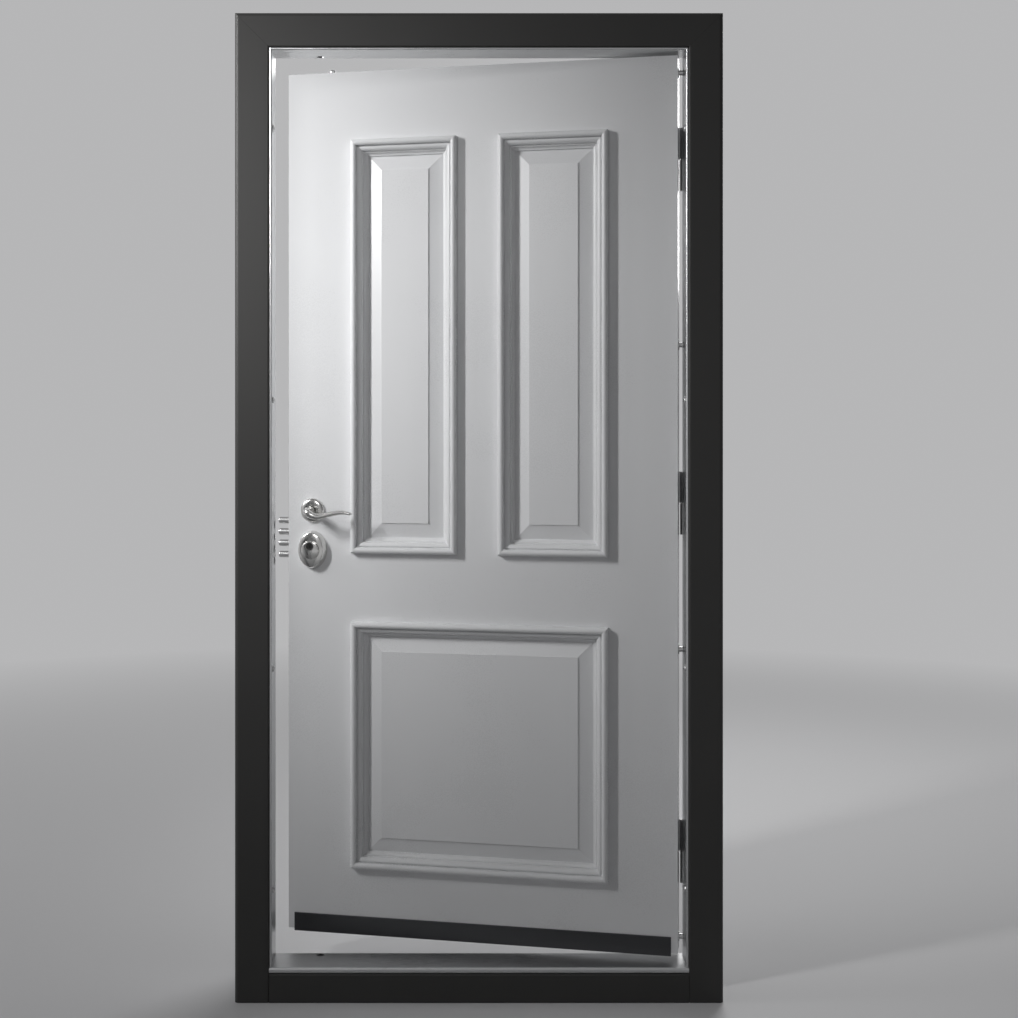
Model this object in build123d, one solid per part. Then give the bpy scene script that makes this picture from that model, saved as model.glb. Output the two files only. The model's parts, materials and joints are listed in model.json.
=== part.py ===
from build123d import *
import os
from math import cos, pi, radians, sin

# Security door: a steel frame with a dark casing and a bright lining, and a panelled leaf that is
# hinged on the right, opens into the room and stands ajar with its lock bolts thrown.
# X runs along the wall towards the hinges, Y into the room, Z up. The origin is on the wall face,
# at floor level, in the middle of the frame. The leaf is drawn closed and then swung ajar.

# Frame opening
OPENING_WIDTH = 908.0  # between the reveals
SOFFIT = 2074.0  # underside of the head lining
SILL_TOP = 76.0
SILL_NOSE = 13.0  # height of the sill plate's rounded front

# Folded frame sheet
SHEET = 2.0
BEND = 2.0  # inside radius of a fold

# Casing
CASING_FACE = 75.0
CASING_STANDOFF = 20.0  # front of the casing ahead of the wall
CASING_EDGE = 9.0  # radius of the soft outer edge
CASING_LIP = 16.0  # flange that lies on the wall

# Lining
BEAD_RADIUS = 2.8
BEAD_SETBACK = 5.0  # bead centre behind the casing front
BEAD_PROUD = 1.0  # bead centre inside the reveal
REBATE = 16.0  # step outwards behind the reveal
LINING_PAST_LEAF = 14.0
LINING_FLANGE = 30.0
SILL_LIP = 24.0  # sill plate's turned-down back edge
SILL_BACK_BEND = 4.0
SILL_NOSE_FLAT = 3.0  # left between the two bends of the nose

# Frame fixings
FIXING_RISES = (163.0, 646.0)  # above the sill plate
FIXING_DROPS = (765.0, 170.0)  # below the head
FIXING_SETBACK = 6.5  # behind the wall face
FIXING_HOLE = 5.5
FIXING_COLLAR = 9.0
FIXING_COLLAR_RISE = 2.5
FIXING_COLLAR_EDGE = 1.0

# Leaf
LEAF_RECESS = 40.0  # leaf front behind the casing front
LEAF_THICKNESS = 60.0
REAR_SKIN = 4.0
REAR_LAP = 14.0  # rear skin beyond the leaf at the lock side and the top
HINGE_GAP = 5.0
LOCK_GAP = 7.5
HEAD_GAP = 5.0
SILL_GAP = 14.0
SEAL_GAP = 5.0  # between the lining's step and the rear skin
SEAL_CLEARANCE = 0.5
SEAL_WIDTH = 6.0
AJAR = 11.0  # degrees

# Panels
STILE = 152.5
MUNTIN = 95.0
TOP_RAIL = 159.0
LOCK_RAIL = 157.0
BOTTOM_RAIL = 150.0
LOWER_PANEL = 565.0  # height over its moulding
POCKET_DEPTH = 18.0
PANEL_SINK = 14.0  # panel edge below the leaf face
PANEL_MARGIN = 1.0  # flat strip beside the moulding
PANEL_BEVEL = 33.0
BEVEL_RISE = 9.0
FIELD_RISE = 2.0  # small step round the flat field
PANEL_PLAY = 0.5

# Moulding section: widths from its outer edge, heights from the leaf face
MOULDING_WIDTH = 35.0
CREST_WIDTH = 14.0
CREST_RISE = 20.0
GROOVE_WIDTH = 2.5
GROOVE_FLOOR = 8.0
OVOLO_START = 10.0
OVOLO_WIDTH = 9.0
OVOLO_END = 1.0
FILLET_DROP = 4.0
FILLET_WIDTH = 3.0
COVE_END = -10.0

# Bottom strip
STRIP_INSET = 14.5
STRIP_HEIGHT = 42.0
STRIP_OVERHANG = 5.0
STRIP_THICKNESS = 3.0
STRIP_EDGE = 1.2

# Lock
LOCK_BACKSET = 58.0  # spindle and cylinder from the lock edge
SPINDLE_HEIGHT = 1059.0
ESCUTCHEON_DROP = 91.0  # middle of the escutcheon below the spindle
BOLT_COUNT = 4
BOLT_PITCH = 26.5
BOLT_DROP = 25.5  # highest bolt below the spindle
BOLT_RADIUS = 7.5
BOLT_REACH = 33.0  # thrown, beyond the lock edge
BOLT_TRAVEL = 34.0
BOLT_TAIL = 10.0  # inside the leaf when thrown
CARRIER_WIDTH = 11.0  # bar that joins the bolts behind the forend
CARRIER_THICKNESS = 5.0
CARRIER_PLAY = 0.5
BOLT_TIP = 3.0
BOLT_PLAY = 0.4
KEEP_PLAY = 1.25  # frame hole round a bolt or rod
ROD_BACKSET = 94.0  # from the lock edge
ROD_DEPTH = 38.0  # behind the leaf front
ROD_RADIUS = 7.0
ROD_TAIL = 160.0
ROD_TIP = 2.5
TOP_ROD_REACH = 15.0
BOTTOM_ROD_REACH = 17.0
ROD_SHY = 1.0  # drawn-back rod end inside the leaf edge
FOREND_WIDTH = 24.0
FOREND_HEIGHT = 240.0
FOREND_THICKNESS = 3.0

# Lever and its rose
ROSE_RADIUS = 28.0
ROSE_HEIGHT = 9.0
ROSE_EDGE = 5.0
NECK_RADIUS = 9.0
NECK_PLAY = 0.4
NECK_START = 2.0  # off the leaf face
ARM_STANDOFF = 52.0  # middle of the lever arm from the leaf face
HUB_CAP = 7.0  # hub past the middle of the arm
HUB_EDGE = 5.0
SPINDLE_SIDE = 8.0
SPINDLE_PLAY = 0.1
SPINDLE_GRIP = 26.0  # spindle inside each lever
SPINDLE_BORE = 8.0
# Lever arm sections: along, above the spindle, slope in degrees, half height, half depth
ARM_SECTIONS = (
    (2.0, -3.0, -45.0, 8.0, 7.0),
    (14.0, -11.0, -25.0, 7.0, 7.0),
    (28.0, -13.0, 2.0, 6.0, 7.0),
    (52.0, -7.0, 14.0, 5.2, 6.5),
    (80.0, -1.5, 3.0, 4.2, 6.0),
    (108.0, -6.0, -18.0, 2.6, 5.0),
)

# Cylinder and its escutcheon
ESCUTCHEON_WIDTH = 64.0
ESCUTCHEON_LENGTH = 88.0
ESCUTCHEON_RISE = 18.0
ESCUTCHEON_SLOPE = 6.0  # top smaller than the base, all round
ESCUTCHEON_EDGE = 2.0
BOSS_RADIUS = 22.5
BOSS_RISE = 7.0
BOSS_EDGE = 1.5
CYLINDER_RADIUS = 8.4
CYLINDER_LIFT = 8.5  # cylinder above the middle of the escutcheon
CYLINDER_PLAY = 0.3
CYLINDER_RECESS = 4.0
KEYWAY_WIDTH = 2.6
KEYWAY_HEIGHT = 9.0
KEYWAY_DEPTH = 15.0

# Hinges and dog bolts
LOWER_HINGE_RISE = 210.0  # above the foot of the leaf
UPPER_HINGE_DROP = 219.0  # below the top of the leaf
MIDDLE_HINGE_LIFT = 5.0  # above the middle of the other two
HINGE_HALF = 70.0  # length of one knuckle
HINGE_WASHER_GAP = 1.0
KNUCKLE_RADIUS = 7.0
KNUCKLE_OUT = 8.5  # hinge line beyond the leaf edge
KNUCKLE_BACK = 2.0  # hinge line behind the leaf
PIN_RADIUS = 4.0
PIN_LENGTH = 55.0
PIN_PLAY = 0.1
PIN_TIP = 1.0
WING = 3.0  # hinge plate thickness
WING_REACH = 42.0  # leaf plate, in from the leaf edge
WING_FOOT = 14.0  # frame plate on the lining
DOG_RISES = (30.0, 667.0)  # above the foot of the leaf
DOG_DROPS = (636.0, 32.0)  # below the top of the leaf
DOG_RADIUS = 6.0
DOG_REACH = 14.0
DOG_BASE_RADIUS = 11.0
DOG_BASE = 2.0
DOG_TIP = 4.0
DOG_PLAY = 1.5

# Derived places, leaf closed
REVEAL = OPENING_WIDTH / 2
LEAF_LEFT = -REVEAL + LOCK_GAP
LEAF_RIGHT = REVEAL - HINGE_GAP
LEAF_BOTTOM = SILL_TOP + SILL_GAP
LEAF_TOP = SOFFIT - HEAD_GAP
LEAF_FRONT = LEAF_RECESS - CASING_STANDOFF
LEAF_BACK = LEAF_FRONT + LEAF_THICKNESS
LEAF_MIDDLE = LEAF_FRONT + LEAF_THICKNESS / 2
SKIN_FRONT = LEAF_BACK - REAR_SKIN
STEP = SKIN_FRONT - SEAL_GAP
LINING_BACK = LEAF_BACK + LINING_PAST_LEAF
HINGE_X = LEAF_RIGHT + KNUCKLE_OUT
HINGE_Y = LEAF_BACK + KNUCKLE_BACK
LOCK_X = LEAF_LEFT + LOCK_BACKSET
ROD_X = LEAF_LEFT + ROD_BACKSET
ROD_Y = LEAF_FRONT + ROD_DEPTH
ESCUTCHEON_HEIGHT = SPINDLE_HEIGHT - ESCUTCHEON_DROP
CYLINDER_HEIGHT = ESCUTCHEON_HEIGHT + CYLINDER_LIFT
BOLT_HEIGHTS = [SPINDLE_HEIGHT - BOLT_DROP - i * BOLT_PITCH for i in reversed(range(BOLT_COUNT))]
LOWER_HINGE = LEAF_BOTTOM + LOWER_HINGE_RISE
UPPER_HINGE = LEAF_TOP - UPPER_HINGE_DROP
HINGE_HEIGHTS = (LOWER_HINGE, (LOWER_HINGE + UPPER_HINGE) / 2 + MIDDLE_HINGE_LIFT, UPPER_HINGE)
DOG_HEIGHTS = [LEAF_BOTTOM + rise for rise in DOG_RISES] + [LEAF_TOP - drop for drop in DOG_DROPS]
FIXING_HEIGHTS = [SILL_TOP + rise for rise in FIXING_RISES] + [SOFFIT - drop for drop in FIXING_DROPS]
FACE_REACH = ESCUTCHEON_RISE + BOSS_RISE - CYLINDER_RECESS
FAR = 200.0  # longer than any hole is deep
SWING = Pos(HINGE_X, HINGE_Y, 0) * Rot(0, 0, -AJAR) * Pos(-HINGE_X, -HINGE_Y, 0)


def block(low, high):
    """Box between two corners."""
    size = [b - a for a, b in zip(low, high)]
    return Pos(*low) * Box(*size, align=(Align.MIN, Align.MIN, Align.MIN))


def rod_along(axis, start, radius, length, tip=0.0):
    """Round bar from a point along an axis, with its far end rounded."""
    bar = Cylinder(radius, length, align=(Align.CENTER, Align.CENTER, Align.MIN))
    if tip:
        bar = fillet(bar.edges().sort_by(Axis.Z)[-1:], tip)
    return Plane(start, z_dir=axis) * bar


def folded(points, radii, side):
    """Section of a folded sheet: its skin follows the points, the metal lies to one side."""
    skin = FilletPolyline(*points, radius=list(radii))
    return make_face(skin.wire().offset_2d(SHEET, side=side, closed=True))


def surround(section, foot):
    """Lock side, hinge side and head of one section, mitred at the top corners.

    The section's x is the distance outwards from the edge of the opening.
    """
    reach = section.bounding_box().max.X
    corner = Plane((REVEAL, 0, SOFFIT), z_dir=(-1, 0, 1))
    other = Plane((-REVEAL, 0, SOFFIT), z_dir=(1, 0, 1))
    upright = Pos(REVEAL, 0, foot) * extrude(section, SOFFIT - foot + reach)
    hinge_side = split(upright, bisect_by=corner, keep=Keep.BOTTOM)
    lock_side = mirror(hinge_side, about=Plane.YZ)
    half = REVEAL + reach
    head = Pos(half, 0, SOFFIT) * Rot(0, -90, 0) * extrude(section, 2 * half)
    head = split(head, bisect_by=corner, keep=Keep.TOP)
    head = split(head, bisect_by=other, keep=Keep.TOP)
    return lock_side, hinge_side, head


def casing_section():
    """Folded channel: inner return, face, soft outer edge and wall lip."""
    inner = SHEET
    outer = inner + CASING_FACE
    front = -CASING_STANDOFF
    points = ((inner, 0), (inner, front), (outer, front), (outer, 0), (outer - CASING_LIP, 0))
    return folded(points, (BEND + SHEET, CASING_EDGE, BEND + SHEET), Side.LEFT)


def lining_section():
    """Folded lining: rounded front bead, reveal, step for the leaf and back flange."""
    front = BEAD_SETBACK - CASING_STANDOFF
    points = ((0, front), (0, STEP), (REBATE, STEP), (REBATE, LINING_BACK))
    points += ((REBATE + LINING_FLANGE, LINING_BACK),)
    sheet = folded(points, (BEND + SHEET, BEND, BEND + SHEET), Side.RIGHT)
    return sheet + Pos(-BEAD_PROUD, front) * Circle(BEAD_RADIUS)


def sill_casing():
    """Riser under the sill plate: a channel open below, with its rear leg flat on the wall."""
    top = SILL_TOP - SILL_NOSE
    front = -CASING_STANDOFF
    fold = BEND + SHEET
    section = folded(((front, 0), (front, top), (0, top), (0, 0)), (fold, fold), Side.RIGHT)
    half = REVEAL + SHEET
    return extrude(Plane((-half, 0, 0), x_dir=(0, 1, 0), z_dir=(1, 0, 0)) * section, 2 * half)


def sill_plate():
    """Sill with a round nose, a turned-down back edge and the bottom rod's hole."""
    front = -CASING_STANDOFF
    low = SILL_TOP - SILL_NOSE
    nose = (SILL_NOSE - SILL_NOSE_FLAT) / 2
    points = ((front + SILL_NOSE, low), (front, low), (front, SILL_TOP))
    points += ((STEP, SILL_TOP), (STEP, SILL_TOP - SILL_LIP))
    section = folded(points, (nose, nose, SILL_BACK_BEND), Side.RIGHT)
    half = REVEAL + SHEET
    plate = extrude(Plane((-half, 0, 0), x_dir=(0, 1, 0), z_dir=(1, 0, 0)) * section, 2 * half)
    hole = rod_along((0, 0, 1), (ROD_X, ROD_Y, low), ROD_RADIUS + KEEP_PLAY, FAR)
    return plate - hole


def side_holes(jamb, side, heights, depth, radius):
    """Cut round holes through one jamb's reveal; side is -1 at the lock and 1 at the hinges."""
    for height in heights:
        start = (side * (REVEAL - FIXING_COLLAR), depth, height)
        jamb -= rod_along((side, 0, 0), start, radius, FIXING_COLLAR + REBATE)
    return jamb


def fixing_collars(jamb, side):
    """Raised collars round the holes for the frame's wall anchors."""
    for height in FIXING_HEIGHTS:
        start = (side * (REVEAL + SHEET / 2), FIXING_SETBACK, height)
        rise = FIXING_COLLAR_RISE + SHEET / 2
        jamb += rod_along((-side, 0, 0), start, FIXING_COLLAR, rise, FIXING_COLLAR_EDGE)
    return side_holes(jamb, side, FIXING_HEIGHTS, FIXING_SETBACK, FIXING_HOLE)


def seals():
    """Rubber strips on the step of the lining, at the lock side and along the head."""
    thickness = SEAL_GAP - SEAL_CLEARANCE
    start = BEND + SHEET
    strip = Pos(start + SEAL_WIDTH / 2, STEP + thickness / 2) * RectangleRounded(
        SEAL_WIDTH, thickness, thickness / 3
    )
    lock_side, _, head = surround(strip, SILL_TOP)
    stop = block((HINGE_X - KNUCKLE_RADIUS - WING_REACH, 0, 0), (FAR + REVEAL, FAR, FAR + SOFFIT))
    return lock_side, head - stop


def face_plane(x, z, rear=False):
    """Plane on the leaf's front or rear face: x along the face, y up, z out of it."""
    if rear:
        return Plane((x, LEAF_BACK, z), x_dir=(-1, 0, 0), z_dir=(0, 1, 0))
    return Plane((x, LEAF_FRONT, z), x_dir=(1, 0, 0), z_dir=(0, -1, 0))


def panel_places():
    """Name, middle and size over its moulding of each panel."""
    left = LEAF_LEFT + STILE
    right = LEAF_RIGHT - STILE
    bottom = LEAF_BOTTOM + BOTTOM_RAIL
    middle = bottom + LOWER_PANEL + LOCK_RAIL
    top = LEAF_TOP - TOP_RAIL
    width = (right - left - MUNTIN) / 2
    upper = (middle + top) / 2
    return (
        ("upper_left", left + width / 2, upper, width, top - middle),
        ("upper_right", right - width / 2, upper, width, top - middle),
        ("lower", (left + right) / 2, bottom + LOWER_PANEL / 2, right - left, LOWER_PANEL),
    )


def moulding_section():
    """Round crest on the leaf, groove, ovolo, fillet and cove down to the panel."""
    groove = CREST_WIDTH + GROOVE_WIDTH
    ovolo = groove + OVOLO_WIDTH
    cove = ovolo + FILLET_WIDTH
    drop = OVOLO_END - FILLET_DROP
    sag = 1 - cos(pi / 4)
    spring = CREST_RISE - CREST_WIDTH / 2
    crest = ThreePointArc((0, spring), (CREST_WIDTH / 2, CREST_RISE), (CREST_WIDTH, spring))
    round_over = ThreePointArc(
        (groove, OVOLO_START),
        (ovolo - OVOLO_WIDTH * sag, OVOLO_START - (OVOLO_START - OVOLO_END) * sag),
        (ovolo, OVOLO_END),
    )
    hollow = ThreePointArc(
        (cove, drop),
        (cove + (MOULDING_WIDTH - cove) * sag, COVE_END + (drop - COVE_END) * sag),
        (MOULDING_WIDTH, COVE_END),
    )
    outline = [
        Line((0, 0), (0, spring)),
        crest,
        Polyline((CREST_WIDTH, spring), (CREST_WIDTH, GROOVE_FLOOR), (groove, GROOVE_FLOOR)),
        Line((groove, GROOVE_FLOOR), (groove, OVOLO_START)),
        round_over,
        Polyline((ovolo, OVOLO_END), (ovolo, drop), (cove, drop)),
        hollow,
        Polyline((MOULDING_WIDTH, COVE_END), (MOULDING_WIDTH, -PANEL_SINK), (CREST_WIDTH, -PANEL_SINK)),
        Polyline((CREST_WIDTH, -PANEL_SINK), (CREST_WIDTH, 0), (0, 0)),
    ]
    return make_face([edge for part in outline for edge in part.edges()])


def moulding(width, height):
    """Moulding ring with mitred corners, in the leaf face's own plane."""
    path = Rectangle(width, height).wire()
    start = Plane((-width / 2, 0, 0), x_dir=(1, 0, 0), z_dir=(0, -1, 0))
    return sweep(start * moulding_section(), path=path, transition=Transition.RIGHT)


def raised_panel(width, height):
    """Panel in its pocket: thin edge under the moulding, sloped border and flat field."""
    inset = 2 * (CREST_WIDTH + PANEL_PLAY)
    edge = POCKET_DEPTH - PANEL_SINK
    base = Pos(0, 0, -POCKET_DEPTH + edge / 2) * Box(width - inset, height - inset, edge)
    foot = 2 * (MOULDING_WIDTH + PANEL_MARGIN)
    head = foot + 2 * PANEL_BEVEL
    low = Pos(0, 0, -PANEL_SINK) * Rectangle(width - foot, height - foot)
    high = Pos(0, 0, BEVEL_RISE - PANEL_SINK) * Rectangle(width - head, height - head)
    slope = loft([low, high], ruled=True)
    field = extrude(high, FIELD_RISE)
    return base + slope + field


def pocket(width, height):
    """Hole in the leaf for a panel and the foot of its moulding."""
    inset = 2 * CREST_WIDTH
    return Pos(0, 0, -POCKET_DEPTH / 2) * Box(width - inset, height - inset, POCKET_DEPTH)


def carrier_space(near, far, play):
    """Room of the bolts' carrier between two places along the leaf."""
    half = CARRIER_WIDTH / 2 + play
    end = BOLT_RADIUS + play
    return block(
        (near, LEAF_MIDDLE - half, BOLT_HEIGHTS[0] - end),
        (far, LEAF_MIDDLE + half, BOLT_HEIGHTS[-1] + end),
    )


def lock_bores():
    """Bores for the bolts, their carrier, the rods, the spindle and the cylinder."""
    bolt_depth = BOLT_TAIL + BOLT_TRAVEL + ROD_SHY
    rod_depth = ROD_TAIL + TOP_ROD_REACH + BOTTOM_ROD_REACH
    bores = [
        rod_along((1, 0, 0), (LEAF_LEFT, LEAF_MIDDLE, z), BOLT_RADIUS + BOLT_PLAY, bolt_depth)
        for z in BOLT_HEIGHTS
    ]
    bores.append(carrier_space(LEAF_LEFT, LEAF_LEFT + bolt_depth, CARRIER_PLAY))
    bores.append(rod_along((0, 0, -1), (ROD_X, ROD_Y, LEAF_TOP), ROD_RADIUS + BOLT_PLAY, rod_depth))
    bores.append(rod_along((0, 0, 1), (ROD_X, ROD_Y, LEAF_BOTTOM), ROD_RADIUS + BOLT_PLAY, rod_depth))
    bores.append(rod_along((0, 1, 0), (LOCK_X, LEAF_FRONT, SPINDLE_HEIGHT), SPINDLE_BORE, LEAF_THICKNESS))
    cylinder_bore = CYLINDER_RADIUS + CYLINDER_PLAY
    bores.append(rod_along((0, 1, 0), (LOCK_X, LEAF_FRONT, CYLINDER_HEIGHT), cylinder_bore, LEAF_THICKNESS))
    return bores


def forend():
    """Plate in the lock edge that the bolts pass through."""
    middle = (BOLT_HEIGHTS[0] + BOLT_HEIGHTS[-1]) / 2
    return block(
        (LEAF_LEFT, LEAF_MIDDLE - FOREND_WIDTH / 2, middle - FOREND_HEIGHT / 2),
        (LEAF_LEFT + FOREND_THICKNESS, LEAF_MIDDLE + FOREND_WIDTH / 2, middle + FOREND_HEIGHT / 2),
    )


def leaf_slab():
    """Body of the leaf without its rear skin."""
    slab = block((LEAF_LEFT, LEAF_FRONT, LEAF_BOTTOM), (LEAF_RIGHT, SKIN_FRONT, LEAF_TOP))
    for _, x, z, width, height in panel_places():
        slab -= face_plane(x, z) * pocket(width, height)
        slab -= face_plane(x, z, rear=True) * pocket(width, height)
    slab -= forend()
    for bore in lock_bores():
        slab -= bore
    return slab


def leaf_rear_skin():
    """Rear sheet that laps the lining at the lock side and the head."""
    skin = block(
        (LEAF_LEFT - REAR_LAP, SKIN_FRONT, LEAF_BOTTOM),
        (LEAF_RIGHT, LEAF_BACK, LEAF_TOP + REAR_LAP),
    )
    for _, x, z, width, height in panel_places():
        skin -= face_plane(x, z, rear=True) * pocket(width, height)
    skin -= rod_along((0, 1, 0), (LOCK_X, LEAF_FRONT, SPINDLE_HEIGHT), SPINDLE_BORE, LEAF_THICKNESS)
    cylinder_bore = CYLINDER_RADIUS + CYLINDER_PLAY
    skin -= rod_along((0, 1, 0), (LOCK_X, LEAF_FRONT, CYLINDER_HEIGHT), cylinder_bore, LEAF_THICKNESS)
    return skin


def bottom_strip():
    """Brushed strip across the foot of the leaf."""
    low = LEAF_BOTTOM - STRIP_OVERHANG
    strip = block(
        (LEAF_LEFT + STRIP_INSET, LEAF_FRONT - STRIP_THICKNESS, low),
        (LEAF_RIGHT - STRIP_INSET, LEAF_FRONT, low + STRIP_HEIGHT),
    )
    return fillet(strip.faces().sort_by(Axis.Y)[0].edges(), STRIP_EDGE)


def rose():
    """Domed round plate round the lever's neck."""
    plate = Cylinder(ROSE_RADIUS, ROSE_HEIGHT, align=(Align.CENTER, Align.CENTER, Align.MIN))
    plate = fillet(plate.edges().sort_by(Axis.Z)[-1:], ROSE_EDGE)
    return plate - Cylinder(NECK_RADIUS + NECK_PLAY, FAR)


def lever():
    """Neck, round hub and a waved arm that thins towards its tip."""
    top = ARM_STANDOFF + HUB_CAP
    hub = Pos(0, 0, NECK_START) * Cylinder(
        NECK_RADIUS, top - NECK_START, align=(Align.CENTER, Align.CENTER, Align.MIN)
    )
    hub = fillet(hub.edges().sort_by(Axis.Z)[-1:], HUB_EDGE)
    sections = []
    for along, above, slope, half_height, half_depth in ARM_SECTIONS:
        turn = radians(slope)
        plane = Plane(
            (along, above, ARM_STANDOFF),
            x_dir=(-sin(turn), cos(turn), 0),
            z_dir=(cos(turn), sin(turn), 0),
        )
        sections.append(plane * Ellipse(half_height, half_depth))
    arm = loft(sections)
    socket = SPINDLE_SIDE + 2 * SPINDLE_PLAY
    return hub + arm - Box(socket, socket, 2 * (SPINDLE_GRIP + SPINDLE_PLAY))


def spindle():
    """Square bar through the leaf, between the two levers."""
    half = SPINDLE_SIDE / 2
    return block(
        (LOCK_X - half, LEAF_FRONT - SPINDLE_GRIP, SPINDLE_HEIGHT - half),
        (LOCK_X + half, LEAF_BACK + SPINDLE_GRIP, SPINDLE_HEIGHT + half),
    )


def escutcheon():
    """Oval guard with a sloped flank and a round boss, bored for the cylinder."""
    base = Ellipse(ESCUTCHEON_WIDTH / 2, ESCUTCHEON_LENGTH / 2)
    shrink = ESCUTCHEON_SLOPE
    crown = Ellipse(ESCUTCHEON_WIDTH / 2 - shrink, ESCUTCHEON_LENGTH / 2 - shrink)
    guard = loft([base, Pos(0, 0, ESCUTCHEON_RISE) * crown])
    guard = fillet(guard.edges().sort_by(Axis.Z)[-1:], ESCUTCHEON_EDGE)
    boss = Cylinder(BOSS_RADIUS, BOSS_RISE, align=(Align.CENTER, Align.CENTER, Align.MIN))
    boss = fillet(boss.edges().sort_by(Axis.Z)[-1:], BOSS_EDGE)
    guard += Pos(0, 0, ESCUTCHEON_RISE) * boss
    return guard - Pos(0, CYLINDER_LIFT, 0) * Cylinder(CYLINDER_RADIUS + CYLINDER_PLAY, FAR)


def lock_cylinder():
    """Round key cylinder through the leaf, with a keyway at each end."""
    start = (LOCK_X, LEAF_FRONT - FACE_REACH, CYLINDER_HEIGHT)
    length = LEAF_THICKNESS + 2 * FACE_REACH
    body = rod_along((0, 1, 0), start, CYLINDER_RADIUS, length)
    for end in (start[1], start[1] + length):
        keyway = Box(KEYWAY_WIDTH, 2 * KEYWAY_DEPTH, KEYWAY_HEIGHT)
        body -= Pos(LOCK_X, end, CYLINDER_HEIGHT) * keyway
    return body


def side_bolts():
    """Four round bolts on one carrier, which the lock throws out of the lock edge."""
    length = BOLT_TAIL + BOLT_REACH
    start = LEAF_LEFT + BOLT_TAIL
    bolts = carrier_space(start - CARRIER_THICKNESS, start, 0)
    for z in BOLT_HEIGHTS:
        bolts += rod_along((-1, 0, 0), (start, LEAF_MIDDLE, z), BOLT_RADIUS, length, BOLT_TIP)
    return bolts


def top_rod():
    start = (ROD_X, ROD_Y, LEAF_TOP - ROD_TAIL)
    return rod_along((0, 0, 1), start, ROD_RADIUS, ROD_TAIL + TOP_ROD_REACH, ROD_TIP)


def bottom_rod():
    start = (ROD_X, ROD_Y, LEAF_BOTTOM + ROD_TAIL)
    return rod_along((0, 0, -1), start, ROD_RADIUS, ROD_TAIL + BOTTOM_ROD_REACH, ROD_TIP)


def dog_bolts():
    """Fixed pins on the hinge edge that enter the jamb when the leaf closes."""
    pins = []
    for height in DOG_HEIGHTS:
        seat = (LEAF_RIGHT, LEAF_MIDDLE, height)
        pin = rod_along((1, 0, 0), seat, DOG_RADIUS, DOG_REACH, DOG_TIP)
        pins.append(pin + rod_along((1, 0, 0), seat, DOG_BASE_RADIUS, DOG_BASE))
    return Compound(children=pins)


def hinge_frame_half(height):
    """Lower knuckle with the pin, on a plate that stands on the lining."""
    low = height - HINGE_HALF
    line = (HINGE_X, HINGE_Y, low)
    wall = REVEAL + REBATE
    knuckle = rod_along((0, 0, 1), line, KNUCKLE_RADIUS, HINGE_HALF)
    pin = rod_along((0, 0, 1), line, PIN_RADIUS, HINGE_HALF + PIN_LENGTH, PIN_TIP)
    web = block((HINGE_X, HINGE_Y - WING / 2, low), (wall, HINGE_Y + WING / 2, height))
    foot_front = LINING_BACK - BEND - SHEET - WING_FOOT
    foot = block((wall - WING, foot_front, low), (wall, foot_front + WING_FOOT, height))
    return knuckle + pin + web + foot


def hinge_leaf_half(height):
    """Upper knuckle on a plate fixed to the rear of the leaf."""
    low = height + HINGE_WASHER_GAP
    line = (HINGE_X, HINGE_Y, low)
    knuckle = rod_along((0, 0, 1), line, KNUCKLE_RADIUS, HINGE_HALF)
    wing = block(
        (LEAF_RIGHT - WING_REACH, LEAF_BACK, low),
        (HINGE_X, LEAF_BACK + WING, low + HINGE_HALF),
    )
    bore = rod_along((0, 0, 1), line, PIN_RADIUS + PIN_PLAY, PIN_LENGTH + HINGE_WASHER_GAP)
    return knuckle + wing - bore


def frame_pieces():
    """Everything that stays with the wall."""
    pieces = {}
    names = ("lock_side_casing", "hinge_side_casing", "head_casing")
    pieces.update(zip(names, surround(casing_section(), 0)))
    pieces["sill_casing"] = sill_casing()
    pieces["sill_plate"] = sill_plate()
    lock_jamb, hinge_jamb, head = surround(lining_section(), SILL_TOP)
    lock_jamb = fixing_collars(lock_jamb, -1)
    keep = BOLT_RADIUS + KEEP_PLAY
    pieces["lock_jamb"] = side_holes(lock_jamb, -1, BOLT_HEIGHTS, LEAF_MIDDLE, keep)
    hinge_jamb = fixing_collars(hinge_jamb, 1)
    pieces["hinge_jamb"] = side_holes(hinge_jamb, 1, DOG_HEIGHTS, LEAF_MIDDLE, DOG_RADIUS + DOG_PLAY)
    rod_hole = rod_along((0, 0, 1), (ROD_X, ROD_Y, LEAF_TOP), ROD_RADIUS + KEEP_PLAY, REBATE)
    pieces["head_lining"] = head - rod_hole
    pieces["lock_side_seal"], pieces["head_seal"] = seals()
    for name, height in zip(("lower", "middle", "upper"), HINGE_HEIGHTS):
        pieces[f"{name}_hinge_frame_half"] = hinge_frame_half(height)
    return pieces


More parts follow.
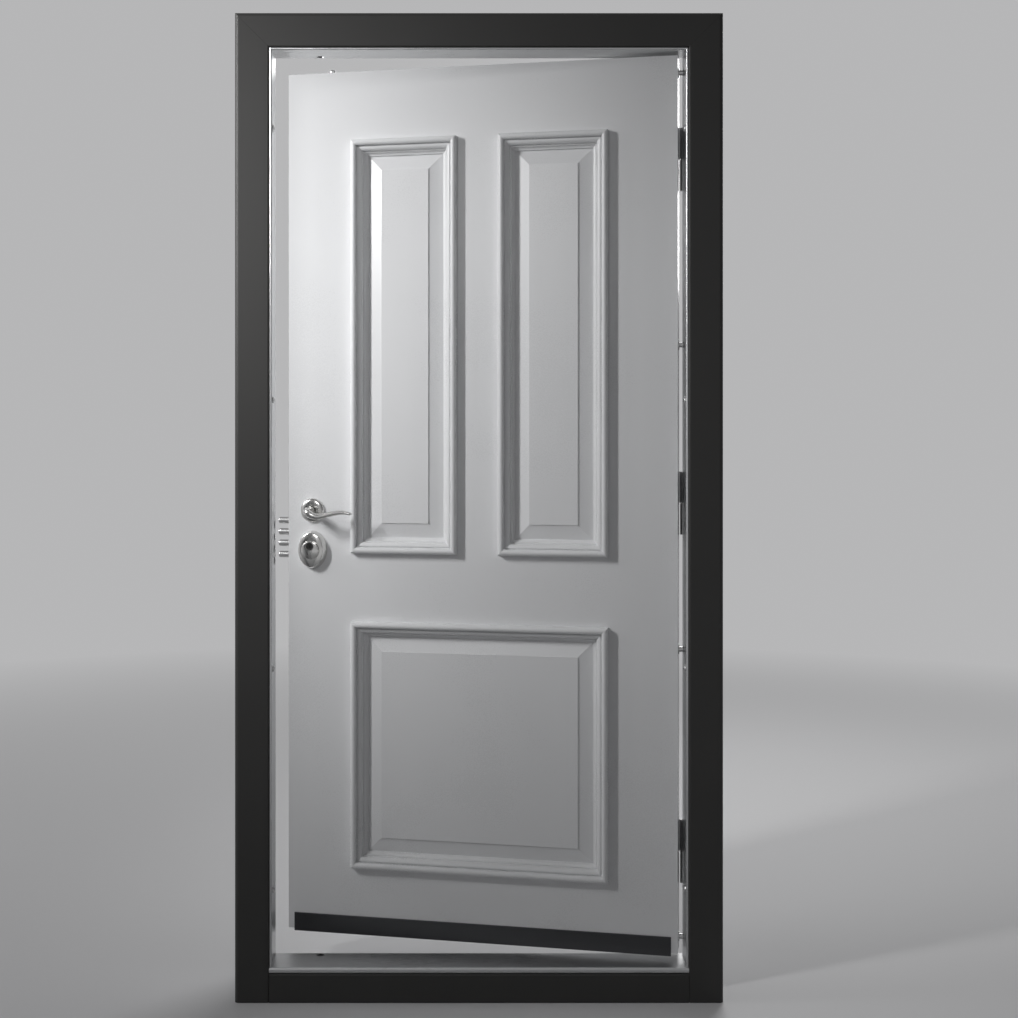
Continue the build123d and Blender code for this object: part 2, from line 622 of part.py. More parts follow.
def leaf_pieces():
    """The leaf and all that it carries, drawn closed."""
    pieces = {"leaf_slab": leaf_slab(), "leaf_rear_skin": leaf_rear_skin(), "bottom_strip": bottom_strip()}
    for side, rear in (("front", False), ("rear", True)):
        for name, x, z, width, height in panel_places():
            place = face_plane(x, z, rear)
            pieces[f"{side}_{name}_moulding"] = place * moulding(width, height)
            pieces[f"{side}_{name}_panel"] = place * raised_panel(width, height)
        arm = mirror(lever(), about=Plane.YZ) if rear else lever()
        pieces[f"{side}_lever_rose"] = face_plane(LOCK_X, SPINDLE_HEIGHT, rear) * rose()
        pieces[f"{side}_lever"] = face_plane(LOCK_X, SPINDLE_HEIGHT, rear) * arm
        pieces[f"{side}_escutcheon"] = face_plane(LOCK_X, ESCUTCHEON_HEIGHT, rear) * escutcheon()
    pieces["lever_spindle"] = spindle()
    pieces["lock_cylinder"] = lock_cylinder()
    holes = [
        rod_along((1, 0, 0), (LEAF_LEFT, LEAF_MIDDLE, z), BOLT_RADIUS + BOLT_PLAY, FOREND_THICKNESS)
        for z in BOLT_HEIGHTS
    ]
    pieces["lock_forend"] = forend() - holes
    pieces["side_bolts"] = side_bolts()
    pieces["top_rod"] = top_rod()
    pieces["bottom_rod"] = bottom_rod()
    pieces["dog_bolts"] = dog_bolts()
    for name, height in zip(("lower", "middle", "upper"), HINGE_HEIGHTS):
        pieces[f"{name}_hinge_leaf_half"] = hinge_leaf_half(height)
    return pieces


os.makedirs("parts", exist_ok=True)
for node, shape in frame_pieces().items():
    export_step(shape, f"parts/{node}.step")
for node, shape in leaf_pieces().items():
    export_step(SWING * shape, f"parts/{node}.step")
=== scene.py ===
# %% [markdown]
# # A security door, ajar in its frame
# The door comes in as solids that already have their real size and place. This lesson gives each of them
# its finish, models the pieces that a hand touches (levers, roses, the guard round the key) and the small
# fasteners, and then lights the whole as in a plain studio. Everything is in metres, with the wall along X,
# the room behind the wall along +Y and Z upwards.

# %% Load the solids
import json
from math import atan2, cos, degrees, pi, radians, sin

import bpy
from mathutils import Matrix, Vector


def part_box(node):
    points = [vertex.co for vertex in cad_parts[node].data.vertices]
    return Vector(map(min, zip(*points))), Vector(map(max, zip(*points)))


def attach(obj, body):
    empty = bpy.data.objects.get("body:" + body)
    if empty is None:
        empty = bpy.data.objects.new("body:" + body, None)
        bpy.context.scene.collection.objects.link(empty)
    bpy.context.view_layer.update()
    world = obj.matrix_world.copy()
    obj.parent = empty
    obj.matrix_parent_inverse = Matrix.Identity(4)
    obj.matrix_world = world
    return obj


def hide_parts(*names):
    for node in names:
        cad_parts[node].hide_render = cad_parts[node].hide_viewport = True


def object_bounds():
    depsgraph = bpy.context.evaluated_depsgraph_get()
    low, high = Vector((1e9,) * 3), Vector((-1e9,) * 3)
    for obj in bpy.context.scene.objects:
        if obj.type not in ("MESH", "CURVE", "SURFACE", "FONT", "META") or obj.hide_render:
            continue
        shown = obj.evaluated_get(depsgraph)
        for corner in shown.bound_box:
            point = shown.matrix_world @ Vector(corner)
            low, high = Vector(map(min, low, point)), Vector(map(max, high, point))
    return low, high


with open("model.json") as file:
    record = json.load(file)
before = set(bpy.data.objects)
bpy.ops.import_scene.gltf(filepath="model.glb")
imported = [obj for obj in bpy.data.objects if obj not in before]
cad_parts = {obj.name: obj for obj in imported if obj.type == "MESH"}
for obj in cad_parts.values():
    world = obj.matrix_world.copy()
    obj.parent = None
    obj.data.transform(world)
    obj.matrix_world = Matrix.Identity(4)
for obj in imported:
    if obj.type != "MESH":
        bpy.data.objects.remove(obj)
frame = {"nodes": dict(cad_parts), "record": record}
solid_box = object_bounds()
nodes = frame["nodes"]
joints = {joint["name"]: joint for joint in frame["record"]["behaviour"]["joints"]}
scene = bpy.context.scene
scene.view_settings.view_transform = "Standard"
print("solids:", len(nodes), "box:", [tuple(round(v, 3) for v in corner) for corner in solid_box])

# %% [markdown]
# ## Shader maths as plain maths
# A finish is a handful of nodes, and a graph drawn by hand is hard to read as text. One small class wraps a
# socket, so that `1 - mask * 0.3` adds the Math nodes by itself. Every other node comes from its `add`
# method, which takes the node's type, its settings and the values of its sockets.


# %% A socket that understands + - and *
class Wire:
    """One output socket of a material's node tree."""

    def __init__(self, tree, socket):
        self.tree = tree
        self.socket = socket

    def add(self, kind, settings, inputs, output=0):
        """Make any node: settings first, then its sockets, and give back one of its outputs."""
        node = self.tree.nodes.new(kind)
        for name, value in settings.items():
            setattr(node, name, value)
        for key, value in inputs.items():
            if isinstance(value, Wire):
                self.tree.links.new(value.socket, node.inputs[key])
            else:
                node.inputs[key].default_value = value
        return Wire(self.tree, node.outputs[output])

    def maths(self, operation, first, second=0.0):
        return self.add("ShaderNodeMath", {"operation": operation}, {0: first, 1: second})

    def __add__(self, other):
        return self.maths("ADD", self, other)

    def __sub__(self, other):
        return self.maths("SUBTRACT", self, other)

    def __rsub__(self, other):
        return self.maths("SUBTRACT", other, self)

    def __mul__(self, other):
        return self.maths("MULTIPLY", self, other)

    def __abs__(self):
        return self.maths("ABSOLUTE", self)

    def below(self, limit, soft):
        """1 where the value is under the limit, fading to 0 over a soft width."""
        inputs = {"Value": self, "From Min": limit, "From Max": limit + soft, "To Min": 1.0, "To Max": 0.0}
        return self.add("ShaderNodeMapRange", {"clamp": True}, inputs)

    def tint(self, dark, light):
        """Mix two colours by this value."""
        settings = {"data_type": "RGBA", "clamp_factor": True}
        inputs = {"Factor": self, 6: (*dark, 1), 7: (*light, 1)}
        return self.add("ShaderNodeMix", settings, inputs, 2)


# %% [markdown]
# ## Starting a finish
# Every finish reads Object coordinates. Each piece sits at the origin with its place in its mesh, so these
# are the door's own metres: a grain that is 2 mm wide here is 2 mm wide on the door. Noise stretched along
# one axis gives brush lines, and the same noise unstretched gives the orange peel of sprayed paint.


# %% Helpers for finishes
def start_finish(name, colour, roughness, metallic=0.0):
    """New material with plain values, and its Object coordinates."""
    material = bpy.data.materials.new(name)
    material.use_nodes = True
    tree = material.node_tree
    shader = tree.nodes["Principled BSDF"]
    shader.inputs["Base Color"].default_value = (*colour, 1)
    shader.inputs["Roughness"].default_value = roughness
    shader.inputs["Metallic"].default_value = metallic
    coordinates = Wire(tree, tree.nodes.new("ShaderNodeTexCoord").outputs["Object"])
    return material, shader, coordinates


def feed(shader, socket, wire):
    """Link a value to one socket of the finish's shader."""
    wire.tree.links.new(wire.socket, shader.inputs[socket])


even = (1, 1, 1)


def grain(place, stretch, scale, detail):
    """Noise in the door's metres, drawn out along the axes with a small stretch value."""
    drawn = place.add("ShaderNodeMapping", {}, {"Vector": place, "Scale": stretch})
    return place.add("ShaderNodeTexNoise", {}, {"Vector": drawn, "Scale": scale, "Detail": detail})


def emboss(shader, height, strength, distance):
    """Turn a height into small relief."""
    inputs = {"Height": height, "Strength": strength, "Distance": distance}
    feed(shader, "Normal", height.add("ShaderNodeBump", {}, inputs))


def dress(finish, *names):
    """Put a finish on solids of the door."""
    for name in names:
        slots = nodes[name].data.materials
        slots.clear()
        slots.append(finish)


# %% [markdown]
# ## The leaf's white paint
# The leaf is sprayed steel in a satin white. Close up such paint isn't flat: it has a fine orange peel, and
# its gloss drifts a little where the spray was thicker. Both are noise, far below what shows from across
# the room, but they break up the reflections.

# %% White satin paint
leaf_white, shader, place = start_finish("leaf_white", (0.80, 0.805, 0.815), 0.36)
peel = grain(place, even, 420, 2)
drift = grain(place, even, 3.5, 2)
feed(shader, "Base Color", drift.tint((0.775, 0.78, 0.79), (0.825, 0.83, 0.84)))
feed(shader, "Roughness", drift * 0.08 + peel * 0.05 + 0.22)
emboss(shader, peel, 0.06, 0.0006)
leaf_white_nodes = [name for name in nodes if name.endswith(("_panel", "_moulding"))]
dress(leaf_white, "leaf_slab", "leaf_rear_skin", *leaf_white_nodes)
print("white solids:", len(leaf_white_nodes) + 2)

# %% [markdown]
# ## The casing's charcoal coat
# The casing is powder coated in a dark charcoal with a fine tooth. Its two top corners are mitred, and the
# joint shows as a hairline. A line that lies in the 45 degree plane through a corner is where x and z run
# equally far from it, so the hairline is one subtraction, and it sinks a little with the bump.

# %% Charcoal powder coat with mitred joints
casing_coat, shader, place = start_finish("casing_coat", (0.031, 0.0303, 0.029), 0.5)
rightward = place.add("ShaderNodeSeparateXYZ", {}, {"Vector": place})
upward = Wire(rightward.tree, rightward.socket.node.outputs["Z"])
sheet = 0.002  # the lining's thickness: its holes and the casing are measured at its back
anchor_rows = [mount for mount in frame["record"]["mounts"] if mount["kind"] == "bolt_pattern"]
reveal = max(row["pos_m"][0] for row in anchor_rows) - sheet
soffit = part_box("head_casing")[0].z - sheet
mitre = abs(abs(rightward) - reveal - (upward - soffit))
hairline = 0.0006
hairline_fade = 0.0005
joint_line = mitre.below(hairline, hairline_fade) * (soffit - upward).below(0.0, 0.0002)
tooth = grain(place, even, 900, 2)
clouds = grain(place, even, 5, 3)
coat = clouds * 0.5 + tooth * 0.5
feed(shader, "Base Color", (coat - joint_line).tint((0.022, 0.0215, 0.0205), (0.042, 0.041, 0.0393)))
feed(shader, "Roughness", tooth * 0.22 + clouds * 0.08 + 0.36)
emboss(shader, tooth * 0.6 - joint_line * 4, 0.18, 0.0006)
dress(casing_coat, "lock_side_casing", "hinge_side_casing", "head_casing", "sill_casing")
print("mitre through x", round(reveal, 3), "z", round(soffit, 3))

# %% [markdown]
# ## Brushed and turned steel
# The lining and the sill are brushed sheet: fine scratches that all run along the sheet. The same finish is
# made with the grain along X or along Z by drawing the noise out along that axis. The strip at the foot of
# the leaf is the same sheet with a dark colour that is a painted reflection, standing in for dark
# surroundings mirrored in its steel. Bolts, rods and hinges are turned bright steel, whose marks run every
# way, so its noise isn't drawn out at all.


# %% Scratched steel, made four times
def brushed(name, colour, stretch, rough):
    """Metal with fine scratches, drawn out along the axis with a small stretch value."""
    finish, shader, place = start_finish(name, colour, rough, 1.0)
    scratches = grain(place, stretch, 60, 4)
    smears = grain(place, even, 6, 3)
    low = tuple(0.80 * tone for tone in colour)
    high = tuple(min(1.0, 1.12 * tone) for tone in colour)
    feed(shader, "Base Color", scratches.tint(low, high))
    feed(shader, "Roughness", scratches * 0.16 + smears * 0.12 + (rough - 0.14))
    emboss(shader, scratches, 0.12, 0.0004)
    return finish


upright_sheet = brushed("lining_upright", (0.63, 0.635, 0.64), (30, 30, 0.4), 0.30)
level_sheet = brushed("lining_level", (0.63, 0.635, 0.64), (0.4, 30, 30), 0.30)
# painted reflection: the strip's dark colour stands in for the dark surroundings that its steel mirrors
sheet_with_painted_reflection = brushed("foot_strip", (0.085, 0.086, 0.09), (0.4, 30, 30), 0.34)
turned_steel = brushed("turned_steel", (0.60, 0.60, 0.60), (12, 12, 12), 0.24)
dress(upright_sheet, "lock_jamb", "hinge_jamb")
dress(level_sheet, "head_lining", "sill_plate")
dress(sheet_with_painted_reflection, "bottom_strip")
hinge_nodes = [name for name in nodes if "_hinge_" in name]
dress(turned_steel, "side_bolts", "top_rod", "bottom_rod", "dog_bolts", "lock_forend", *hinge_nodes)
dress(turned_steel, "lever_spindle")
print("hinge solids:", len(hinge_nodes))

# %% [markdown]
# ## Plated fittings, key cylinder and rubber
# Levers, roses and guards are satin nickel plate: nearly a mirror, with faint smears where hands go. The
# key cylinder sits at the bottom of its bore, and its dark steel colour is painted shade, standing in for
# the shadow down there. The seals are matt rubber with a faint bloom.

# %% Three small finishes
nickel, shader, place = start_finish("satin_nickel", (0.74, 0.735, 0.72), 0.16, 1.0)
smears = grain(place, even, 55, 4)
hairlines = grain(place, (1, 1, 8), 260, 2)
feed(shader, "Roughness", smears * 0.14 + hairlines * 0.05 + 0.07)
feed(shader, "Base Color", smears.tint((0.69, 0.685, 0.67), (0.78, 0.775, 0.76)))
# painted shade: the cylinder's dark colour stands in for the shadow at the bottom of its bore
cylinder_painted_shade, shader, place = start_finish("cylinder_painted_shade", (0.10, 0.10, 0.10), 0.36, 1.0)
rings = grain(place, even, 300, 3)
feed(shader, "Roughness", rings * 0.2 + 0.24)
feed(shader, "Base Color", rings.tint((0.06, 0.06, 0.06), (0.14, 0.138, 0.134)))
dress(cylinder_painted_shade, "lock_cylinder")
rubber, shader, place = start_finish("seal_rubber", (0.02, 0.02, 0.02), 0.7)
bloom = grain(place, even, 120, 3)
feed(shader, "Base Color", bloom.tint((0.014, 0.014, 0.014), (0.035, 0.035, 0.034)))
feed(shader, "Roughness", bloom * 0.2 + 0.6)
dress(rubber, "lock_side_seal", "head_seal")
print("finishes:", len(bpy.data.materials))

# %% [markdown]
# ## Modelling helpers
# The fittings are modelled at the origin, lying on the XY plane with Z pointing out of the door, because a
# round thing is easiest to shape round its own axis. When a piece is done, a matrix takes it to the leaf
# and the move is applied, so that the object itself stays at the origin.


# %% Selecting, finishing and placing
crease = radians(38)  # edges that bend more than this stay sharp


def free_hands():
    """Back to object mode with nothing selected."""
    if bpy.context.object and bpy.context.object.mode != "OBJECT":
        bpy.ops.object.mode_set(mode="OBJECT")
    bpy.ops.object.select_all(action="DESELECT")


def use_modifier(piece, kind, **settings):
    """Add a modifier and apply it at once."""
    if bpy.context.object.mode != "OBJECT":
        bpy.ops.object.mode_set(mode="OBJECT")
    modifier = piece.modifiers.new(kind.title(), kind)
    for name, value in settings.items():
        setattr(modifier, name, value)
    bpy.ops.object.modifier_apply(modifier=modifier.name)


def put(piece, name, place, finish, body):
    """Name a piece, move it to its place on the door, and let it ride on a body."""
    free_hands()
    piece.name = name
    piece.data.name = name
    piece.matrix_world = place
    piece.select_set(True)
    bpy.context.view_layer.objects.active = piece
    bpy.ops.object.transform_apply(location=True, rotation=True, scale=True)
    bpy.ops.object.shade_smooth_by_angle(angle=crease)
    piece.data.materials.clear()
    piece.data.materials.append(finish)
    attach(piece, body)
    return piece


def twin(piece):
    """A copy with a mesh of its own."""
    copy = piece.copy()
    copy.data = piece.data.copy()
    scene.collection.objects.link(copy)
    return copy


# %% [markdown]
# ## Where the fittings sit
# The lever's joint gives the spindle's line through the leaf. From it come two sets of axes, one for each
# face: x along the leaf, y up, z out of the face. On the front face x runs towards the hinges. On the rear
# face it runs the other way, so a piece that points to the hinges is mirrored there.

# %% Axes on the two faces of the leaf
turn = joints["lever_turn"]
spindle = Vector(turn["pos_m"])
through = Vector(turn["axis"]).normalized()
leaf_thickness = 0.060


def face_axes(out, origin):
    """Matrix of a set of axes on a face: z out, y up."""
    up = Vector((0, 0, 1))
    along = up.cross(out).normalized()
    matrix = Matrix((along, up, out)).transposed().to_4x4()
    matrix.translation = origin
    return matrix


front_face = face_axes(-through, spindle)
rear_face = face_axes(through, spindle + through * leaf_thickness)
print("leaf turned by", round(degrees(atan2(through.x, through.y)), 2), "degrees")

# %% [markdown]
# ## Levers
# A lever is one bent bar: a round neck leaves the rose, turns through a right angle, and runs on as a waved
# arm that flattens towards its tip. It could be a curve with a bevel, but then the section couldn't change
# from round to oval. So a disc is extruded ring by ring: each step moves, turns and squeezes the newest
# ring, as one does by hand with E, G, R and S. A subdivision surface then smooths the rings into metal.

# %% Extrude the lever ring by ring
# each ring: along, above the spindle, off the face, turn of the ring round the upright axis, slope of the
# arm, half height, half depth (millimetres and degrees)
lever_rings = (
    (0.0, 0.0, 2.0, 0, 0, 9.0, 9.0),
    (0.0, 0.0, 10.0, 0, 0, 9.0, 9.0),
    (0.0, 0.0, 22.0, 0, 0, 8.7, 8.9),
    (0.0, 0.0, 32.0, 0, 0, 8.6, 8.8),
    (0.0, 0.0, 40.0, 0, 0, 8.8, 8.8),
    (0.8, -0.6, 46.5, 22, 0, 9.2, 8.4),
    (3.4, -2.6, 51.0, 52, -12, 9.4, 7.6),
    (8.5, -6.6, 52.5, 80, -24, 8.9, 7.0),
    (16.0, -10.6, 52.3, 90, -20, 7.9, 6.8),
    (28.0, -12.6, 52.0, 90, 2, 6.6, 6.8),
    (42.0, -10.0, 52.0, 90, 13, 6.2, 6.8),
    (58.0, -5.6, 52.0, 90, 14, 5.8, 6.6),
    (74.0, -2.2, 52.0, 90, 8, 5.4, 6.4),
    (90.0, -1.9, 52.0, 90, -6, 4.9, 6.1),
    (101.0, -3.8, 52.0, 90, -14, 4.2, 5.7),
    (107.0, -5.6, 52.0, 90, -18, 3.0, 4.8),
)


def ring_points(ring, count):
    """The points of one ring, in metres."""
    along, above, off, swing, slope, half_height, half_depth = ring
    placed = Matrix.Translation(Vector((along, above, off)) / 1000)
    placed @= Matrix.Rotation(radians(slope), 4, "Z") @ Matrix.Rotation(radians(swing), 4, "Y")
    points = []
    for i in range(count):
        angle = 2 * pi * i / count
        oval = Vector((cos(angle) * half_depth, sin(angle) * half_height, 0)) / 1000
        points.append(placed @ oval)
    return points


def model_lever():
    """One lever at the origin, with its neck along Z."""
    count = 16
    free_hands()
    bpy.ops.mesh.primitive_circle_add(vertices=count, radius=0.009, fill_type="NGON")
    lever = bpy.context.object
    for number, ring in enumerate(lever_rings):
        bpy.ops.object.mode_set(mode="EDIT")
        bpy.ops.mesh.select_mode(type="FACE")
        if number:
            bpy.ops.mesh.extrude_region_move(TRANSFORM_OT_translate={"value": (0, 0, 0)})
        bpy.ops.object.mode_set(mode="OBJECT")
        newest = [vertex for vertex in lever.data.vertices if vertex.select]
        newest.sort(key=lambda vertex: vertex.index)
        for vertex, point in zip(newest, ring_points(ring, count)):
            vertex.co = point
    bpy.ops.object.mode_set(mode="EDIT")
    bpy.ops.mesh.inset(thickness=0.0012)
    bpy.ops.mesh.select_all(action="SELECT")
    bpy.ops.mesh.normals_make_consistent(inside=False)
    bpy.ops.object.mode_set(mode="OBJECT")
    use_modifier(lever, "SUBSURF", levels=2, render_levels=2)
    return lever


front_lever = model_lever()
rear_lever = twin(front_lever)
put(front_lever, "front_lever_bar", front_face, nickel, "lever")
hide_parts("front_lever")
print("lever triangles:", sum(len(face.vertices) - 2 for face in front_lever.data.polygons))

# %% [markdown]
# The rear lever is the same bar seen in a mirror. A negative scale turns a mesh inside out, so its normals
# are made consistent again after the move.


# %% The rear lever
def mirrored(face):
    """Axes of the rear face with x turned towards the hinges."""
    return face @ Matrix.Scale(-1, 4, Vector((1, 0, 0)))


def turn_right_side_out(piece):
    """Recalculate the normals of one piece."""
    free_hands()
    piece.select_set(True)
    bpy.context.view_layer.objects.active = piece
    bpy.ops.object.mode_set(mode="EDIT")
    bpy.ops.mesh.select_all(action="SELECT")
    bpy.ops.mesh.normals_make_consistent(inside=False)
    bpy.ops.object.mode_set(mode="OBJECT")


put(rear_lever, "rear_lever_bar", mirrored(rear_face), nickel, "lever")
turn_right_side_out(rear_lever)
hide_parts("rear_lever")
print("rear lever from", [round(v, 3) for v in rear_lever.bound_box[0]])

# %% [markdown]
# ## Roses
# The rose is a turned cup round the lever's neck. A turned part is a profile spun round an axis: this one
# goes out to the rim on the leaf, rises through a soft shoulder, dips in a small groove and ends at the
# neck.


# %% Spin a profile
def spun(profile, steps=48):
    """Turn a profile of (radius, height) in millimetres round Z."""
    free_hands()
    bpy.ops.mesh.primitive_plane_add(size=0.001)
    piece = bpy.context.object
    bpy.ops.object.mode_set(mode="EDIT")
    bpy.ops.mesh.select_mode(type="VERT")
    bpy.ops.mesh.select_all(action="SELECT")
    bpy.ops.mesh.merge(type="CENTER")
    points = [Vector((radius, 0, height)) / 1000 for radius, height in profile]
    bpy.ops.transform.translate(value=points[0])
    for start, end in zip(points, points[1:]):
        bpy.ops.mesh.extrude_vertices_move(TRANSFORM_OT_translate={"value": end - start})
    bpy.ops.mesh.select_all(action="SELECT")
    bpy.ops.mesh.spin(steps=steps, angle=2 * pi, center=(0, 0, 0), axis=(0, 0, 1))
    bpy.ops.mesh.select_all(action="SELECT")
    bpy.ops.mesh.remove_doubles(threshold=0.00001)
    bpy.ops.mesh.normals_make_consistent(inside=False)
    bpy.ops.object.mode_set(mode="OBJECT")
    return piece


rose_profile = (
    (9.5, 0.0), (28.0, 0.0), (28.0, 3.2), (27.4, 5.0), (25.6, 6.9), (22.5, 8.2), (18.0, 8.9), (14.4, 9.0),
    (13.9, 8.4), (13.2, 8.4), (12.6, 9.0), (10.4, 8.9), (9.5, 8.2), (9.5, 0.0),
)
front_rose = spun(rose_profile)
rear_rose = twin(front_rose)
put(front_rose, "front_rose_cup", front_face, nickel, "leaf")
put(rear_rose, "rear_rose_cup", rear_face, nickel, "leaf")
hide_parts("front_lever_rose")
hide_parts("rear_lever_rose")
print("rose faces:", len(front_rose.data.polygons))

# %% [markdown]
# ## Guards round the key
# The guard is an oval cone with a flat crown, and a round boss stands on the crown. The oval starts as a
# filled circle, squeezed to an ellipse and extruded upwards while it shrinks. The boss is spun, joined on,
# and a drill, the Boolean modifier, opens the bore above the middle where the key goes in.


# %% Extrude the guard, stand the boss on it and drill it
# each step: half width, half height, distance off the face (millimetres)
guard_steps = (
    (34.5, 44.0, 0.0), (34.5, 44.0, 1.6), (33.7, 43.2, 3.2), (30.2, 39.7, 15.4), (29.4, 38.9, 17.2),
    (27.8, 37.3, 18.0),
)


def model_guard():
    """The oval cone at the origin, lying on XY."""
    free_hands()
    bpy.ops.mesh.primitive_circle_add(vertices=72, radius=1, fill_type="NGON")
    guard = bpy.context.object
    bpy.ops.object.mode_set(mode="EDIT")
    bpy.ops.mesh.select_all(action="SELECT")
    wide, tall, high = 1000.0, 1000.0, 0.0
    for number, (half_width, half_height, height) in enumerate(guard_steps):
        if number:
            lift = (0, 0, (height - high) / 1000)
            bpy.ops.mesh.extrude_region_move(TRANSFORM_OT_translate={"value": lift})
        size = (half_width / wide, half_height / tall, 1)
        bpy.ops.transform.resize(value=size, center_override=(0, 0, height / 1000))
        wide, tall, high = half_width, half_height, height
    bpy.ops.mesh.select_all(action="SELECT")
    bpy.ops.mesh.normals_make_consistent(inside=False)
    bpy.ops.object.mode_set(mode="OBJECT")
    return guard


boss_profile = (
    (0.0, 16.0), (21.0, 16.0), (21.0, 18.0), (21.0, 23.4), (20.6, 24.4), (19.6, 25.0), (0.0, 25.0),
)


def combined(piece, tool, operation):
    """Join a closed piece with another, or cut it, and throw the tool away."""
    free_hands()
    piece.select_set(True)
    bpy.context.view_layer.objects.active = piece
    use_modifier(piece, "BOOLEAN", operation=operation, object=tool, solver="EXACT")
    bpy.data.objects.remove(tool)
    return piece


key_lift = 8.5
key_radius = 8.7
guard = combined(model_guard(), spun(boss_profile, 64), "UNION")
free_hands()
bpy.ops.mesh.primitive_cylinder_add(
    vertices=48, radius=key_radius / 1000, depth=0.1, location=(0, key_lift / 1000, 0)
)
front_guard = combined(guard, bpy.context.object, "DIFFERENCE")
rear_guard = twin(front_guard)
guard_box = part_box("front_escutcheon")
drop = (guard_box[0].z + guard_box[1].z) / 2 - spindle.z
lower = Matrix.Translation((0, drop, 0))
put(front_guard, "front_key_guard", front_face @ lower, nickel, "leaf")
put(rear_guard, "rear_key_guard", rear_face @ lower, nickel, "leaf")
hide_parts("front_escutcheon")
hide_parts("rear_escutcheon")
print("guard below the spindle:", round(drop * 1000, 1), "mm, faces:", len(front_guard.data.polygons))

# %% [markdown]
# ## Anchor heads and screws
# The frame is held in the wall by anchors whose domed heads show on the reveals, and the forend and the
# hinge plates by countersunk screws. Both are a turned profile with a hexagon cut in, modelled once and
# copied to each hole.


# %% One anchor head and one screw
def socket_cut(piece, sides, radius, depth, top):
    """Cut a socket with straight sides into a head."""
    free_hands()
    bpy.ops.mesh.primitive_cylinder_add(
        vertices=sides, radius=radius / 1000, depth=2 * depth / 1000, location=(0, 0, top / 1000)
    )
    return combined(piece, bpy.context.object, "DIFFERENCE")


anchor_profile = (
    (0.0, -6.0), (5.2, -6.0), (5.2, 0.0), (8.0, 0.0), (8.0, 0.8), (7.4, 2.0), (6.0, 3.0), (4.0, 3.6),
    (0.0, 3.7),
)
anchor = socket_cut(spun(anchor_profile, 32), 6, 3.0, 2.2, 3.7)
screw_profile = ((0.0, -1.0), (2.2, -1.0), (4.2, 0.0), (4.2, 0.25), (3.4, 0.55), (0.0, 0.7))
screw = socket_cut(spun(screw_profile, 24), 6, 1.7, 0.8, 0.7)
print("anchor faces:", len(anchor.data.polygons), "screw faces:", len(screw.data.polygons))


# %% [markdown]
# The anchors sit where the record of the door puts its holes. The screws sit on plates whose corners the
# solids give, a fixed step in from their ends.


# %% Copy them to their holes
def axes_at(point, out):
    """Axes with z along a direction, for a small turned part."""
    matrix = out.to_track_quat("Z", "Y").to_matrix().to_4x4()
    matrix.translation = point
    return matrix


collar_rise = 0.0025
count = 0
for row in anchor_rows:
    side = -row["axis"][0]
    depth, middle = row["pos_m"][1:]
    reach = row["dims"]["spacing_y_mm"] / 2000
    for z in (middle - reach, middle + reach):
        point = Vector((-side * (reveal - collar_rise), depth, z))
        count += 1
        put(twin(anchor), f"anchor_head_{count}", axes_at(point, Vector((side, 0, 0))), turned_steel,
            "frame")
bpy.data.objects.remove(anchor)
edge_out = Vector((-through.y, through.x, 0))
forend_low, forend_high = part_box("lock_forend")
half_forend = 0.0015
end_step = 0.012
lock_edge = (forend_low + forend_high) / 2 + edge_out * half_forend
for name, z in (("lower", forend_low.z + end_step), ("upper", forend_high.z - end_step)):
    point = Vector((lock_edge.x, lock_edge.y, z))
    put(twin(screw), f"forend_screw_{name}", axes_at(point, edge_out), turned_steel, "leaf")
hinge_line = Vector(joints["leaf_swing"]["pos_m"])
plate_face = 0.001
screw_places = ((0.042, 0.2), (0.026, 0.5), (0.042, 0.8))  # in from the hinge line, share of the height
for hinge in ("lower", "middle", "upper"):
    low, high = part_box(f"{hinge}_hinge_leaf_half")
    for number, (inward, share) in enumerate(screw_places, 1):
        point = hinge_line + edge_out * inward + through * plate_face
        point.z = low.z + (high.z - low.z) * share
        put(twin(screw), f"{hinge}_hinge_screw_{number}", axes_at(point, through), turned_steel,
            "leaf")
bpy.data.objects.remove(screw)
print("anchor heads:", count, "hinge screws:", 3 * len(screw_places))

# %% [markdown]
# ## Studio
# The door stands on a plain pale ground, and most light comes from the upper left, as the shading on the
# leaf shows it. The world gives an even fill. It is paler to the camera and to reflections than it is as
# a light, so the ground behind the door stays plain while the white leaf keeps its shading. In reflections
# its right side is dimmer, because bright metal looks flat when it mirrors the same tone all round.

# %% World
world = bpy.data.worlds.new("studio_world")
scene.world = world
world.use_nodes = True
tree = world.node_tree
backdrop = (0.47, 0.47, 0.476)
fill = 0.21


def shown_rays(tree):
    """1 for rays from the camera, from reflections and through glass, 0 for rays that carry light."""
    rays = tree.nodes.new("ShaderNodeLightPath")
    seen = Wire(tree, rays.outputs["Is Camera Ray"])
    glossy = Wire(tree, rays.outputs["Is Glossy Ray"])
    clear = Wire(tree, rays.outputs["Is Transmission Ray"])
    return seen.maths("MAXIMUM", seen, seen.maths("MAXIMUM", glossy, clear))


background = tree.nodes["Background"]
background.inputs["Color"].default_value = (*backdrop, 1)
shown = shown_rays(tree)
glossy = Wire(tree, tree.nodes.new("ShaderNodeLightPath").outputs["Is Glossy Ray"])
heading = Wire(tree, tree.nodes.new("ShaderNodeTexCoord").outputs["Generated"])
sideways = heading.add("ShaderNodeSeparateXYZ", {}, {"Vector": heading})
dimming = 0.8
dim_from, dim_width = -0.5, 1.3
unlit_side = (1 - sideways.below(dim_from, dim_width)) * dimming
strength = shown * (1 - fill) + fill - glossy * unlit_side
tree.links.new(strength.socket, background.inputs["Strength"])
print("backdrop", backdrop, "as a light", fill)

# %% [markdown]
# The floor is a wide disc just under the frame. Near the door it is a plain matt surface that takes the
# shadow. Further off it turns into the backdrop's own colour, so that no edge shows where the two meet.

